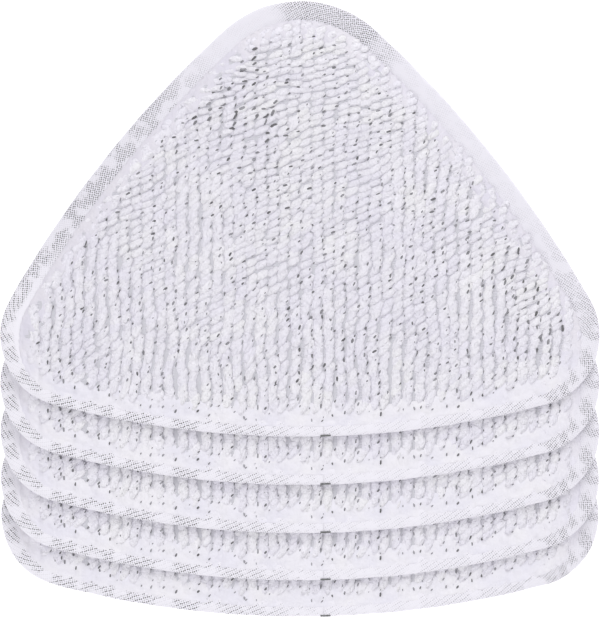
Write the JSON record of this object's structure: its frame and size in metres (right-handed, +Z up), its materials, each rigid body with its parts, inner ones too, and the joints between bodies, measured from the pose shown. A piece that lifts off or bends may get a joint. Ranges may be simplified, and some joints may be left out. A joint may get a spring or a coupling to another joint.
{
  "type": "steam mop pads",
  "caption": "Pile of rounded triangular cloth pads for a steam mop's head, each with a looped face, foam core, backing cloth and sewn edge binding.",
  "frame": {"origin": "on the floor, under the middle of the pile's bounding box", "axes": "+Z up out of the pile, +Y from the pads' wide front edge to their rounded point, +X across the pads"},
  "size_m": [0.2996, 0.3094, 0.0402],
  "materials": {
    "face_pile": "white microfibre chenille loops with a slight lavender tint, over a pale grey ground knit",
    "foam": "open-cell foam sheet, cream, inside the pad",
    "backing": "brushed loop cloth that hook strips grip, white",
    "binding": "white woven twill tape with a fine grey check",
    "thread": "white polyester sewing thread"
  },
  "bodies": {
    "pad_1": {"pad_1_backing_cloth": "backing", "pad_1_foam_core": "foam", "pad_1_face_cloth": "face_pile", "pad_1_edge_binding": "binding", "pad_1_seam_thread": "thread"},
    "pad_2": {"pad_2_backing_cloth": "backing", "pad_2_foam_core": "foam", "pad_2_face_cloth": "face_pile", "pad_2_edge_binding": "binding", "pad_2_seam_thread": "thread"},
    "pad_3": {"pad_3_backing_cloth": "backing", "pad_3_foam_core": "foam", "pad_3_face_cloth": "face_pile", "pad_3_edge_binding": "binding", "pad_3_seam_thread": "thread"},
    "pad_4": {"pad_4_backing_cloth": "backing", "pad_4_foam_core": "foam", "pad_4_face_cloth": "face_pile", "pad_4_edge_binding": "binding", "pad_4_seam_thread": "thread"},
    "pad_5": {"pad_5_backing_cloth": "backing", "pad_5_foam_core": "foam", "pad_5_face_cloth": "face_pile", "pad_5_edge_binding": "binding", "pad_5_seam_thread": "thread"}
  },
  "joints": [
    {"name": "pad_2_lift", "type": "slide", "parent": "pad_1", "child": "pad_2", "axis": [0, 0, 1], "range_m": [0, 0.06]},
    {"name": "pad_3_lift", "type": "slide", "parent": "pad_2", "child": "pad_3", "axis": [0, 0, 1], "range_m": [0, 0.06]},
    {"name": "pad_4_lift", "type": "slide", "parent": "pad_3", "child": "pad_4", "axis": [0, 0, 1], "range_m": [0, 0.06]},
    {"name": "pad_5_lift", "type": "slide", "parent": "pad_4", "child": "pad_5", "axis": [0, 0, 1], "range_m": [0, 0.06]}
  ]
}
